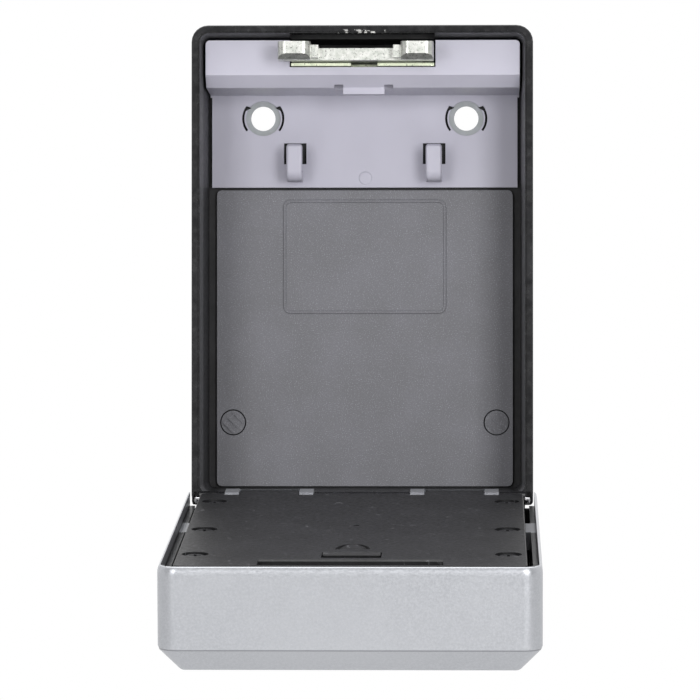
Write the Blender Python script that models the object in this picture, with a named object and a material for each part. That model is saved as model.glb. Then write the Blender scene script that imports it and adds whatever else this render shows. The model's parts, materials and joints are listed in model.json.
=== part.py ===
"""Wall-mounted combination key safe with a drop-down door, modelled as separate pieces.

Every length below is in millimetres and is scaled to metres when a mesh is made.
Housing pieces are placed from the housing's own corner: x = 0 on the centre line, y = 0 on the
wall, z = 0 at the housing's underside, with the open front facing -Y.
Door pieces are placed in the door's frame, as if the door were shut: x across, v forward from the
hinge axis and u up from it.  The hinge empty then swings the whole door down to its open stop.
"""
import math

import bmesh
import bpy
from mathutils import Matrix, Vector

MM = 0.001
TURN_DOWN = math.radians(97)
SIDES = ((-1, "left"), (1, "right"))

# Housing
HOUSING_HALF_WIDTH = 51.35
HOUSING_HEIGHT = 144.3
HOUSING_DEPTH = 36.0
HOUSING_CORNER = 5.0
HOUSING_LOW_CORNER = 1.2
HOUSING_WALL = 2.4
RIM_WIDTH = 1.85
BACK_WALL = 2.0
CAVITY_BOTTOM = 3.4
MOUTH_FLARE = 0.75
DRAFT = 1.05
FIT_GAP = 0.3

# Hinge, measured from the housing's underside and from its rim
HINGE_HEIGHT = 1.6
HINGE_BEHIND_RIM = 1.0
KNUCKLE_RADIUS = 2.6
PIN_RADIUS = 1.0
PIN_BORE = 1.3
BLOCK_INNER = 14.5
BLOCK_OUTER = 41.0
BLOCK_TOP = 3.1
BLOCK_ROUND = 1.5
LUG_WIDTH = 4.2
PIN_HALF_LENGTH = 50.4

# Hook panel
PANEL_HALF_WIDTH = 46.9
HEADER_HALF_WIDTH = 47.4
PANEL_BOTTOM = 96.7
PANEL_FACE = 4.1
PANEL_BACK = 2.3
HEADER_TOP = 140.1
HEADER_FACE = 31.2
WALL_HOLE_X = 31.2
WALL_HOLE_Z = 117.9
WALL_HOLE_RADIUS = 3.75
WALL_HOLE_SEAT = 5.4
STEP_FACE = 27.0
STEP_LOW = 126.0
HOOK_X = 21.3
HOOK_WIDTH = 4.9
BRACKET_SCREW_X = 12.0
BRACKET_SCREW_Z = 130.0
RIVET_X = 11.0
RIVET_Y = -18.0
LOWER_HOLE_X = 40.5
LOWER_HOLE_Z = 24.5

# Strike
STRIKE_SHIFT = -1.8
STRIKE_LOW = 133.6
STRIKE_HIGH = 137.2
STRIKE_FRONT = 45.5
FINGER_X = 18.4

# Door, in the door's frame
DOOR_HALF_WIDTH = 52.5
DOOR_LOW = -2.9
DOOR_HIGH = 143.85
DOOR_LIP = -2.9
DOOR_FACE = 26.5
DOOR_WALL = 2.4
DOOR_CORNER = 5.4
CHAMFER = 6.4
COVER_FACE = -2.6
COVER_BACK = -0.2
COVER_HALF_WIDTH = 48.3
COVER_LOW = 4.6
COVER_HIGH = 139.7
COVER_SCREW_X = 43.25
COVER_SCREW_ROWS = (20.65, 74.4, 119.2)
FRAME_SCREW_X = 36.4
FRAME_SCREW_ROWS = (90.0, 126.0)
LATCH_SLOT_HALF = 25.4
LATCH_SLOT_LOW = 129.4
LATCH_SLOT_HIGH = 137.9
SCOOP_LOW = 101.5
SCOOP_HIGH = 110.5
CODE_RECESS_LOW = 116.3
CODE_RECESS_HIGH = 125.4
CODE_SLIDER_HIGH = 119.8

# Lock
DIAL_COUNT = 4
DIAL_PITCH = 10.0
DIAL_WIDTH = 8.2
DIAL_RADIUS = 9.6
DIAL_V = 13.6
DIAL_U = 105.0
AXLE_RADIUS = 2.0
SHUTTER_LOW = 54.0
SHUTTER_HIGH = 118.3

MATERIALS = {
    "housing_black": ((0.022, 0.022, 0.025), 0.28, 0.0),
    "panel_grey": ((0.47, 0.46, 0.52), 0.45, 0.0),
    "plate_black": ((0.035, 0.035, 0.038), 0.5, 0.0),
    "zinc_steel": ((0.72, 0.73, 0.70), 0.3, 1.0),
    "passivated_steel": ((0.55, 0.57, 0.42), 0.35, 1.0),
    "pin_steel": ((0.6, 0.6, 0.6), 0.3, 1.0),
    "silver_paint": ((0.52, 0.53, 0.56), 0.38, 0.35),
    "bezel_black": ((0.03, 0.03, 0.032), 0.45, 0.0),
    "dial_metal": ((0.62, 0.62, 0.62), 0.35, 0.8),
    "lock_zinc": ((0.45, 0.46, 0.48), 0.45, 0.8),
    "screw_black": ((0.03, 0.03, 0.03), 0.4, 0.6),
    "spring_steel": ((0.5, 0.5, 0.52), 0.3, 1.0),
}


def clear_scene():
    for item in list(bpy.data.objects):
        bpy.data.objects.remove(item, do_unlink=True)


def new_collection(name):
    group = bpy.data.collections.new(name)
    bpy.context.scene.collection.children.link(group)
    return group


def new_material(name):
    colour, roughness, metallic = MATERIALS[name]
    material = bpy.data.materials.new(name)
    material.use_nodes = True
    shader = material.node_tree.nodes["Principled BSDF"]
    shader.inputs["Base Color"].default_value = (*colour, 1.0)
    shader.inputs["Roughness"].default_value = roughness
    shader.inputs["Metallic"].default_value = metallic
    return material


clear_scene()
PARTS = new_collection("key_lock_box")
CUTTERS = new_collection("cutters_and_adders")


def new_empty(name, location, parent=None):
    empty = bpy.data.objects.new(name, None)
    PARTS.objects.link(empty)
    empty.parent = parent
    empty.location = Vector(location) * MM
    return empty


housing_frame = new_empty("housing_frame", (0, 0, -HOUSING_HEIGHT / 2))
AXIS_Y = -(HOUSING_DEPTH - HINGE_BEHIND_RIM)
door_hinge = new_empty("door_hinge", (0, AXIS_Y, HINGE_HEIGHT), housing_frame)
door_hinge.rotation_euler.x = TURN_DOWN


# ---------------------------------------------------------------- building blocks
def finish_mesh(name, bm, parent):
    """Turn a millimetre bmesh into a building block in metres."""
    bmesh.ops.scale(bm, vec=(MM, MM, MM), verts=bm.verts)
    bmesh.ops.recalc_face_normals(bm, faces=bm.faces)
    mesh = bpy.data.meshes.new(name)
    bm.to_mesh(mesh)
    bm.free()
    item = bpy.data.objects.new(name, mesh)
    CUTTERS.objects.link(item)
    item.parent = parent
    item.hide_render = True
    item.display_type = "WIRE"
    return item


def as_part(item, name, material):
    """Make a block a named part with its own material."""
    CUTTERS.objects.unlink(item)
    PARTS.objects.link(item)
    item.name = name
    item.data.name = name
    item.hide_render = False
    item.display_type = "TEXTURED"
    item.data.materials.clear()
    item.data.materials.append(new_material(material))
    item.data.shade_smooth()
    item.data.set_sharp_from_angle(angle=math.radians(35))
    return item


def box(low, high, parent):
    """Box between two corners."""
    low, high = Vector(low), Vector(high)
    bm = bmesh.new()
    bmesh.ops.create_cube(bm, size=1.0)
    size = high - low
    bmesh.ops.scale(bm, vec=size, verts=bm.verts)
    bmesh.ops.translate(bm, vec=(low + high) / 2, verts=bm.verts)
    return finish_mesh("box", bm, parent)


def cylinder(start, end, radius, parent, sides=24):
    """Cylinder from one point to another."""
    start, end = Vector(start), Vector(end)
    along = end - start
    bm = bmesh.new()
    bmesh.ops.create_cone(bm, cap_ends=True, segments=sides, radius1=radius, radius2=radius,
                          depth=along.length)
    turn = Vector((0, 0, 1)).rotation_difference(along).to_matrix().to_4x4()
    bmesh.ops.transform(bm, matrix=Matrix.Translation((start + end) / 2) @ turn, verts=bm.verts)
    return finish_mesh("cylinder", bm, parent)


def rounded_loop(half_width, low, high, radius, low_radius, steps):
    """Corner-rounded rectangle in x and z, centred on x = 0."""
    points = []
    for side, top, start in ((1, True, 0), (-1, True, 90), (-1, False, 180), (1, False, 270)):
        corner = radius if top else low_radius
        centre_x = side * (half_width - corner)
        centre_z = high - corner if top else low + corner
        for step in range(steps + 1):
            angle = math.radians(start + 90 * step / steps)
            points.append((centre_x + corner * math.cos(angle), centre_z + corner * math.sin(angle)))
    return points


def lofted_slab(sections, parent, steps=6, low_corner=None):
    """Slab along y through rounded rectangles (y, half width, low z, high z, corner radius)."""
    bm = bmesh.new()
    loops = []
    for y, half_width, low, high, radius in sections:
        outline = rounded_loop(half_width, low, high, radius, low_corner or radius, steps)
        loops.append([bm.verts.new((x, y, z)) for x, z in outline])
    count = len(loops[0])
    for near, far in zip(loops, loops[1:]):
        for i in range(count):
            bm.faces.new((near[i], near[(i + 1) % count], far[(i + 1) % count], far[i]))
    bm.faces.new(loops[0])
    bm.faces.new(reversed(loops[-1]))
    return finish_mesh("slab", bm, parent)


def rounded_slab(half_width, y_low, y_high, low, high, radius, parent, steps=6):
    """Slab with four rounded corners."""
    sections = ((y_low, half_width, low, high, radius), (y_high, half_width, low, high, radius))
    return lofted_slab(sections, parent, steps)


def outline_prism(points, low, high, parent, plane="YZ", hole=None):
    """Flat outline, filled as a 2D curve and extruded between low and high."""
    curve = bpy.data.curves.new("outline", "CURVE")
    curve.dimensions = "2D"
    curve.fill_mode = "BOTH"
    curve.extrude = (high - low) / 2 * MM
    for loop in (points, hole):
        if loop is None:
            continue
        spline = curve.splines.new("POLY")
        spline.points.add(len(loop) - 1)
        for point, (a, b) in zip(spline.points, loop):
            point.co = (a * MM, b * MM, 0, 1)
        spline.use_cyclic_u = True
    source = bpy.data.objects.new("outline", curve)
    CUTTERS.objects.link(source)
    mesh = bpy.data.meshes.new_from_object(source.evaluated_get(bpy.context.evaluated_depsgraph_get()))
    bpy.data.objects.remove(source)
    bm = bmesh.new()
    bm.from_mesh(mesh)
    bpy.data.meshes.remove(mesh)
    bmesh.ops.remove_doubles(bm, verts=bm.verts, dist=1e-6)
    bmesh.ops.scale(bm, vec=(1 / MM, 1 / MM, 1 / MM), verts=bm.verts)
    bmesh.ops.translate(bm, vec=(0, 0, (high + low) / 2), verts=bm.verts)
    axes = {"YZ": ((0, 0, 1), (1, 0, 0), (0, 1, 0)), "XZ": ((1, 0, 0), (0, 0, 1), (0, 1, 0)),
            "XY": ((1, 0, 0), (0, 1, 0), (0, 0, 1))}[plane]
    bmesh.ops.transform(bm, matrix=Matrix(axes).to_4x4(), verts=bm.verts)
    return finish_mesh("prism", bm, parent)


def arc_points(centre, radius, start, end, steps):
    """Points along an arc in a plane, angles in degrees."""
    points = []
    for step in range(steps + 1):
        angle = math.radians(start + (end - start) * step / steps)
        points.append((centre[0] + radius * math.cos(angle), centre[1] + radius * math.sin(angle)))
    return points


def boolean(target, other, operation):
    modifier = target.modifiers.new(operation.lower(), "BOOLEAN")
    modifier.operation = operation
    modifier.object = other
    modifier.solver = "EXACT"


def cut(target, *others):
    for other in others:
        boolean(target, other, "DIFFERENCE")


def add(target, *others):
    for other in others:
        boolean(target, other, "UNION")


def headed_pin(start, neck, end, head_radius, shank_radius, parent, sides=16):
    """Screw or rivet as a stepped turning: head from start to neck, shank from neck to end."""
    start, neck, end = Vector(start), Vector(neck), Vector(end)
    direction = (end - start).normalized()
    rows = ((0.0, head_radius * 0.8), (0.25, head_radius), ((neck - start).length, head_radius),
            ((neck - start).length, shank_radius), ((end - start).length, shank_radius))
    bm = bmesh.new()
    loops = []
    for distance, radius in rows:
        loop = []
        for step in range(sides):
            angle = math.tau * step / sides
            loop.append(bm.verts.new((radius * math.cos(angle), radius * math.sin(angle), distance)))
        loops.append(loop)
    for near, far in zip(loops, loops[1:]):
        for i in range(sides):
            bm.faces.new((near[i], near[(i + 1) % sides], far[(i + 1) % sides], far[i]))
    bm.faces.new(reversed(loops[0]))
    bm.faces.new(loops[-1])
    turn = Vector((0, 0, 1)).rotation_difference(direction).to_matrix().to_4x4()
    bmesh.ops.transform(bm, matrix=Matrix.Translation(start) @ turn, verts=bm.verts)
    return finish_mesh("headed_pin", bm, parent)


# Door-frame forms of the same blocks: v runs along -y, u along +z.
def door_box(x, v, u):
    return box((x[0], -v[1], u[0]), (x[1], -v[0], u[1]), door_hinge)


def door_post(x, v, u, radius, sides=20):
    return cylinder((x, -v[0], u), (x, -v[1], u), radius, door_hinge, sides)


def door_slab(half_width, v, u, radius, steps=5):
    return rounded_slab(half_width, -v[1], -v[0], u[0], u[1], radius, door_hinge, steps)


# ---------------------------------------------------------------- housing pieces
def make_rear_housing():
    rim = -HOUSING_DEPTH
    width, top = HOUSING_HALF_WIDTH, HOUSING_HEIGHT
    shell = as_part(lofted_slab((
        (rim, width - 0.3, 0.3, top - 0.3, HOUSING_CORNER - 0.3),
        (rim + 0.3, width, 0, top, HOUSING_CORNER),
        (-0.6, width, 0, top, HOUSING_CORNER),
        (0, width - 0.6, 0.6, top - 0.6, HOUSING_CORNER - 0.6)),
        housing_frame, low_corner=HOUSING_LOW_CORNER), "rear_housing", "housing_black")
    mouth = width - HOUSING_WALL
    cavity = lofted_slab((
        (rim - 1, mouth, CAVITY_BOTTOM, top - 2.3, 2.9),
        (rim + 0.6, mouth, CAVITY_BOTTOM, top - 2.3, 2.9),
        (rim + 6, mouth - MOUTH_FLARE, CAVITY_BOTTOM + 0.4, top - 3.35, 2.5),
        (-BACK_WALL, mouth - DRAFT, CAVITY_BOTTOM + 1.0, top - 3.6, 2.4)), housing_frame)
    inner_land = rounded_slab(width - RIM_WIDTH, rim - 1, rim + 0.6, RIM_WIDTH, top - RIM_WIDTH, 3.3,
                              housing_frame)
    notch = box((-21.8, rim + 0.9, top - 4), (21.8, -24, top - 1.3), housing_frame)
    cut(shell, cavity, inner_land, notch)
    for side in (-1, 1):
        inner, outer = sorted((side * (BLOCK_INNER - FIT_GAP), side * (BLOCK_OUTER + FIT_GAP)))
        cut(shell, box((inner, rim - 1, -1), (outer, rim + 4.9, 5.5), housing_frame))
    knuckle_end = 48.9
    knuckle_spans = ((-BLOCK_INNER + FIT_GAP, BLOCK_INNER - FIT_GAP),
                     (BLOCK_OUTER + FIT_GAP, knuckle_end), (-knuckle_end, -BLOCK_OUTER - FIT_GAP))
    for start, end in knuckle_spans:
        add(shell, cylinder((start, AXIS_Y, HINGE_HEIGHT), (end, AXIS_Y, HINGE_HEIGHT),
                            KNUCKLE_RADIUS, housing_frame))
    cut(shell, cylinder((-60, AXIS_Y, HINGE_HEIGHT), (60, AXIS_Y, HINGE_HEIGHT), PIN_BORE,
                        housing_frame, 16))
    for side in (-1, 1):
        inner, outer = sorted((side * (knuckle_end + 0.1), side * (PIN_HALF_LENGTH + 0.2)))
        cut(shell, box((inner, rim - 1, -1), (outer, AXIS_Y + 1.5, 4.0), housing_frame))
        post_x = side * BRACKET_SCREW_X
        add(shell, cylinder((post_x, -1, BRACKET_SCREW_Z), (post_x, -6.7, BRACKET_SCREW_Z), 2.6,
                            housing_frame, 16))
        for x, z, radius in ((side * WALL_HOLE_X, WALL_HOLE_Z, WALL_HOLE_RADIUS + 0.2),
                             (side * LOWER_HOLE_X, LOWER_HOLE_Z, 2.6)):
            cut(shell, cylinder((x, -5, z), (x, 5, z), radius, housing_frame, 32))
        cut(shell, cylinder((post_x, -8, BRACKET_SCREW_Z), (post_x, -2.6, BRACKET_SCREW_Z), 1.3,
                            housing_frame, 12))


def panel_section():
    """Outer outline of the panel in (y, z), then its inner outline back to the start."""
    outer = ((-PANEL_BACK, HEADER_TOP), (-HEADER_FACE, HEADER_TOP), (-HEADER_FACE, 129.6),
             (-STEP_FACE, STEP_LOW), (-PANEL_FACE, 125.0), (-PANEL_FACE, PANEL_BOTTOM),
             (-PANEL_BACK, PANEL_BOTTOM))
    inner = ((-PANEL_BACK, 126.9), (-26.3, 127.9), (-HEADER_FACE + 1.6, 130.3),
             (-HEADER_FACE + 1.6, HEADER_TOP - 1.6), (-PANEL_BACK, HEADER_TOP - 1.6))
    return outer + inner


def panel_cheek(side):
    """Side wall that closes the header's end."""
    outline = ((-2.9, HEADER_TOP - 0.4), (-HEADER_FACE + 0.4, HEADER_TOP - 0.4),
               (-HEADER_FACE + 0.4, 129.8), (-STEP_FACE + 0.1, STEP_LOW + 0.4), (-2.9, 125.4))
    start, end = sorted((side * (HEADER_HALF_WIDTH - 1.8), side * (HEADER_HALF_WIDTH - 0.05)))
    return outline_prism(outline, start, end, housing_frame)


def corner_cutter(side):
    """Rounds one top corner of the header's face."""
    radius = 1.3
    x, z = side * (HEADER_HALF_WIDTH - radius), HEADER_TOP - radius
    start, end = (90, 0) if side > 0 else (90, 180)
    outline = [(side * (HEADER_HALF_WIDTH + 1), HEADER_TOP + 1), (x, HEADER_TOP + 1)]
    outline += arc_points((x, z), radius, start, end, 5)
    outline.append((side * (HEADER_HALF_WIDTH + 1), z))
    return outline_prism(outline, -HEADER_FACE - 1, 0, housing_frame, "XZ")


def hook_outline():
    """One J hook in (y, z): arm out from the panel, then a finger turned up."""
    tip, root, low, high = -14.3, -PANEL_FACE + 0.6, 98.4, 109.7
    lower_front = arc_points((tip + 3.2, low + 3.2), 3.2, 270, 180, 6)
    inner_bend = arc_points((tip + 4.6, low + 4.9), 2.0, 180, 270, 5)
    finger_top = arc_points((tip + 1.3, high - 1.3), 1.3, 180, 0, 6)
    return [(root, low)] + lower_front + finger_top + inner_bend + [(root, low + 2.9)]


def screw_hole_cutters(side):
    """Through hole, sunk seat and the two spring slots that flank it."""
    x = side * WALL_HOLE_X
    cutters = [cylinder((x, -10, WALL_HOLE_Z), (x, -PANEL_FACE + 0.8, WALL_HOLE_Z), WALL_HOLE_SEAT,
                        housing_frame, 32),
               cylinder((x, -10, WALL_HOLE_Z), (x, 1, WALL_HOLE_Z), WALL_HOLE_RADIUS, housing_frame, 32)]
    for middle, end in ((0, 37), (180, 143)):
        slot = (arc_points((x, WALL_HOLE_Z), 6.5, middle - 37, middle + 37, 8)
                + arc_points((x, WALL_HOLE_Z), 5.8, middle + 37, middle - 37, 8))
        cutters.append(outline_prism(slot, -10, 1, housing_frame, "XZ"))
        lean = 1 if middle == 0 else -1
        corner = []
        for radius, turn in ((6.5, 0), (4.9, 6), (5.9, -14)):
            angle = math.radians(end + lean * turn)
            corner.append((x + radius * math.cos(angle), WALL_HOLE_Z + radius * math.sin(angle)))
        cutters.append(outline_prism(corner, -10, 1, housing_frame, "XZ"))
    return cutters


def make_hook_panel():
    panel = as_part(outline_prism(panel_section(), -HEADER_HALF_WIDTH, HEADER_HALF_WIDTH,
                                  housing_frame), "hook_panel", "panel_grey")
    for side in (-1, 1):
        add(panel, panel_cheek(side))
        cut(panel, corner_cutter(side))
        trim = sorted((side * PANEL_HALF_WIDTH, side * 60))
        cut(panel, box((trim[0], -10, 90), (trim[1], 1, 124.4), housing_frame))
        add(panel, outline_prism(hook_outline(), side * HOOK_X - HOOK_WIDTH / 2,
                                 side * HOOK_X + HOOK_WIDTH / 2, housing_frame))
        window_x = sorted((side * (HOOK_X - 3.4), side * (HOOK_X + 3.5)))
        cut(panel, box((window_x[0], -10, 103.9), (window_x[1], 1, 110.3), housing_frame))
        cut(panel, *screw_hole_cutters(side))
    strike_slot = box((-22, -HEADER_FACE - 2, 132.0), (22, -HEADER_FACE + 3, HEADER_TOP + 2), housing_frame)
    top_slot = box((-22, -HEADER_FACE - 2, 136.5), (22, -1, HEADER_TOP + 2), housing_frame)
    cut(panel, strike_slot, top_slot)
    # Snap tab under the step, with a pocket on each side of it
    middle, tab_half, pocket_half, overlap = 0.3, 6.2, 8.9, 0.05
    for inner, outer in ((middle - pocket_half, middle - tab_half), (middle + tab_half, middle + pocket_half)):
        cut(panel, box((inner, -STEP_FACE - 1, 120), (outer, -STEP_FACE + 5, 128.5), housing_frame))
    add(panel, box((middle - tab_half - overlap, -STEP_FACE - overlap, STEP_LOW - 1.95),
                   (middle + tab_half + overlap, -STEP_FACE + 1.5, STEP_LOW + 1.0), housing_frame))


def make_back_plate():
    plate = as_part(rounded_slab(45.5, -3.5, -PANEL_BACK, 4.9, 95.9, 1.5, housing_frame, 3),
                    "back_plate", "plate_black")
    frame_outer = rounded_slab(25.0, -3.85, -3.0, 58.0, 92.9, 2.2, housing_frame, 4)
    frame_inner = rounded_slab(24.2, -5.0, -3.5, 58.8, 92.1, 1.6, housing_frame, 4)
    cut(frame_outer, frame_inner)
    add(plate, frame_outer)
    for side in (-1, 1):
        x = side * LOWER_HOLE_X
        cut(plate, cylinder((x, -6, LOWER_HOLE_Z), (x, 1, LOWER_HOLE_Z), 4.0, housing_frame, 32))


def make_knockout_plugs():
    """Two round blanks with three slanted ribs each."""
    for side, name in SIDES:
        x = side * LOWER_HOLE_X
        plug = as_part(cylinder((x, -3.3, LOWER_HOLE_Z), (x, -2.3, LOWER_HOLE_Z), 3.65, housing_frame, 32),
                       f"knockout_plug_{name}", "plate_black")
        for offset in (-1.5, 0.0, 1.5):
            rib = box((-0.3, -3.6, -2.4), (0.3, -3.0, 2.4), housing_frame)
            rib.location = Vector((x + offset, 0, LOWER_HOLE_Z + offset)) * MM
            rib.rotation_euler.y = math.radians(-45)
            add(plug, rib)


def make_strike():
    """Thick plate: two raised heads with rounded corners, shoulders and a recessed bar between."""
    middle = STRIKE_SHIFT
    strike = as_part(box((middle - 19.6, -38.5, STRIKE_LOW), (middle + 19.6, -9.0, STRIKE_HIGH),
                         housing_frame), "strike", "zinc_steel")
    for side in (-1, 1):
        centre = middle + side * FINGER_X
        front, back, corner = -STRIKE_FRONT, -33.2, 2.4
        outline = ([(centre + 4.9, back), (centre - 4.9, back)]
                   + arc_points((centre - 4.9 + corner, front + corner), corner, 180, 270, 4)
                   + arc_points((centre + 4.9 - corner, front + corner), corner, 270, 360, 4))
        head = outline_prism(outline, STRIKE_LOW, 138.9, housing_frame, "XY")
        lead_in = outline_prism(((-STRIKE_FRONT - 2, STRIKE_LOW - 1), (-STRIKE_FRONT - 2, 136.6),
                                 (-41.6, STRIKE_LOW - 1)), centre - 7, centre + 7, housing_frame)
        relief = outline_prism(((-40.0, 139.5), (-33.0, 137.2), (-33.0, 140.0), (-40.0, 140.0)),
                               centre - 7, centre + 7, housing_frame)
        cut(head, lead_in, relief)
        add(strike, head)
        shoulder_x = sorted((centre - side * 4.0, centre - side * 7.2))
        add(strike, box((shoulder_x[0], -42.0, STRIKE_LOW + 0.6), (shoulder_x[1], -35.0, 138.0),
                        housing_frame))
        cut(strike, box((centre - 3.2, -41.3, 130), (centre + 3.2, -38.0, 142), housing_frame))
        cut(strike, cylinder((side * RIVET_X, RIVET_Y, 130), (side * RIVET_X, RIVET_Y, 142), 1.8,
                             housing_frame, 16))


def make_strike_bracket():
    """Thin L-shaped sheet that carries the strike."""
    leaf = as_part(box((-21.6, -31.6, 132.3), (21.6, -7.0, 133.3), housing_frame),
                   "strike_bracket", "passivated_steel")
    add(leaf, box((-18, -8.0, 127.8), (18, -7.0, 133.2), housing_frame))
    cut(leaf, box((-3.5, -34, 130), (4.5, -23.0, 135), housing_frame))
    for side in (-1, 1):
        cut(leaf, cylinder((side * RIVET_X, RIVET_Y, 130), (side * RIVET_X, RIVET_Y, 136), 1.8,
                           housing_frame, 16))
        screw_x = side * BRACKET_SCREW_X
        cut(leaf, cylinder((screw_x, -10, BRACKET_SCREW_Z), (screw_x, -5, BRACKET_SCREW_Z), 1.4,
                           housing_frame, 12))
        notch_x = sorted((side * 20.6, side * 23))
        cut(leaf, box((notch_x[0], -34, 130), (notch_x[1], -31.0, 135), housing_frame))


def make_strike_fixings():
    for side, name in SIDES:
        x = side * RIVET_X
        as_part(headed_pin((x, RIVET_Y, 138.25), (x, RIVET_Y, 137.5), (x, RIVET_Y, 131.6),
                           2.6, 1.4, housing_frame), f"strike_rivet_{name}", "zinc_steel")
        x, z = side * BRACKET_SCREW_X, BRACKET_SCREW_Z
        as_part(headed_pin((x, -9.6, z), (x, -8.3, z), (x, -3.0, z), 2.0, 1.0, housing_frame, 12),
                f"bracket_screw_{name}", "zinc_steel")


def make_hinge_pin():
    as_part(cylinder((-PIN_HALF_LENGTH, AXIS_Y, HINGE_HEIGHT), (PIN_HALF_LENGTH, AXIS_Y, HINGE_HEIGHT),
                     PIN_RADIUS, housing_frame, 20), "hinge_pin", "pin_steel")


# ---------------------------------------------------------------- door pieces
def make_door_shell():
    def section(v, inset, radius):
        return (-v, DOOR_HALF_WIDTH - inset, DOOR_LOW + inset, DOOR_HIGH - inset, radius)

    chamfer_start = DOOR_FACE - CHAMFER
    shell = as_part(lofted_slab((
        section(DOOR_FACE, CHAMFER, 1.2), section(DOOR_FACE - 0.35, CHAMFER - 0.55, 1.5),
        section(chamfer_start + 0.3, 0.4, 5.0), section(chamfer_start - 0.7, 0, DOOR_CORNER),
        section(DOOR_LIP + 2.5, 0, DOOR_CORNER), section(DOOR_LIP + 1.5, 0.07, DOOR_CORNER),
        section(DOOR_LIP + 0.7, 0.25, DOOR_CORNER), section(DOOR_LIP + 0.2, 0.45, DOOR_CORNER),
        section(DOOR_LIP, 0.65, DOOR_CORNER)), door_hinge), "door_shell", "silver_paint")
    wall = DOOR_HALF_WIDTH - DOOR_WALL
    low, high = DOOR_LOW + DOOR_WALL, DOOR_HIGH - DOOR_WALL
    hollow = lofted_slab((
        (-(DOOR_FACE - DOOR_WALL), wall - CHAMFER + 1.0, low + CHAMFER - 1, high - CHAMFER + 1, 1.2),
        (-(DOOR_FACE - DOOR_WALL - CHAMFER + 1), wall, low, high, 3.2),
        (-(DOOR_LIP - 2), wall, low, high, 3.2)), door_hinge)
    lip_inner = HOUSING_HALF_WIDTH + FIT_GAP
    lip_top = HOUSING_HEIGHT - HINGE_HEIGHT + FIT_GAP
    rebate = rounded_slab(lip_inner, -1.3, 6, -2.0, lip_top, 5.2, door_hinge)
    hinge_room = door_box((-60, 60), (-6, 3.1), (-6, 3.5))
    cut(shell, hollow, rebate, hinge_room)
    for side in (-1, 1):
        inner, outer = sorted((side * BLOCK_INNER, side * BLOCK_OUTER))
        block = outline_prism([(-6.0, DOOR_LOW), (-6.0, 7.2), (-COVER_FACE, 7.2), (BLOCK_TOP, 6.2)]
                              + arc_points((BLOCK_TOP - BLOCK_ROUND, DOOR_LOW + BLOCK_ROUND), BLOCK_ROUND,
                                           0, -90, 4),
                              inner, outer, door_hinge)
        pocket_x = sorted((side * (BLOCK_INNER + LUG_WIDTH), side * (BLOCK_OUTER - LUG_WIDTH)))
        cut(block, door_box(pocket_x, (-4, -1.55), (-2.2, 9)))
        add(shell, block)
        for row in COVER_SCREW_ROWS:
            add(shell, door_post(side * COVER_SCREW_X, (0.1, DOOR_FACE - 1.5), row, 3.2))
        for row in FRAME_SCREW_ROWS:
            add(shell, door_post(side * FRAME_SCREW_X, (3.3, DOOR_FACE - 1.5), row, 2.6))
        rib_x = sorted((side * 48.6, side * 50.6))
        add(shell, door_box(rib_x, (1.3, 6.5), (38.0, 55.0)))
        add(shell, door_post(side * 49.5, (1.3, 20.0), 9.0, 1.0, 12))
    cut(shell, cylinder((-60, 0, 0), (60, 0, 0), PIN_BORE, door_hinge, 16))
    cut(shell, door_slab(32.3, (20, 30), (18.7, 121.3), 4.3))
    for side in (-1, 1):
        for row in COVER_SCREW_ROWS:
            cut(shell, door_post(side * COVER_SCREW_X, (-3, 11), row, 1.35, 12))
        for row in FRAME_SCREW_ROWS:
            cut(shell, door_post(side * FRAME_SCREW_X, (0, 11), row, 1.35, 12))


def make_cover_plate():
    plate = as_part(lofted_slab((
        (-COVER_BACK, COVER_HALF_WIDTH, COVER_LOW, COVER_HIGH, 2.4),
        (-COVER_FACE - 0.25, COVER_HALF_WIDTH, COVER_LOW, COVER_HIGH, 2.4),
        (-COVER_FACE, COVER_HALF_WIDTH - 0.25, COVER_LOW + 0.25, COVER_HIGH - 0.25, 2.2)),
        door_hinge, 4), "door_cover_plate", "plate_black")
    for side in (-1, 1):
        notch_x = sorted((side * (BLOCK_INNER - FIT_GAP), side * (BLOCK_OUTER + FIT_GAP)))
        cut(plate, door_box(notch_x, (-4, 2), (0, 7.5)))
        tab_x = sorted((side * (BLOCK_INNER + LUG_WIDTH + FIT_GAP), side * (BLOCK_OUTER - LUG_WIDTH - FIT_GAP)))
        add(plate, door_box(tab_x, (COVER_FACE + 0.02, -1.85), (-1.85, 8.2)))
        for row in COVER_SCREW_ROWS:
            cut(plate, door_post(side * COVER_SCREW_X, (-4, -1.0), row, 3.75, 32))
            cut(plate, door_post(side * COVER_SCREW_X, (-4, 2), row, 1.5, 16))
    slot_half, slot_low = LATCH_SLOT_HALF, LATCH_SLOT_LOW
    cut(plate, door_box((-slot_half, slot_half), (-4, 2), (slot_low, LATCH_SLOT_HIGH)))
    lead_in = outline_prism(((-COVER_FACE + 1, slot_low - 0.8), (-COVER_FACE, slot_low - 0.8),
                             (-COVER_FACE - 0.45, slot_low + 0.1), (-COVER_FACE + 1, slot_low + 0.1)),
                            -slot_half, slot_half, door_hinge)
    code_recess = door_box((-8.3, 8.3), (-4, COVER_FACE + 1.0), (CODE_RECESS_LOW, CODE_RECESS_HIGH))
    code_slot = door_box((-1.8, 1.8), (-4, 2), (117.1, 123.6))
    gate_mark = door_post(0, (-4, COVER_FACE + 0.4), 67.5, 0.9, 16)
    cut(plate, lead_in, code_recess, code_slot, gate_mark, thumb_scoop())


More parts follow.
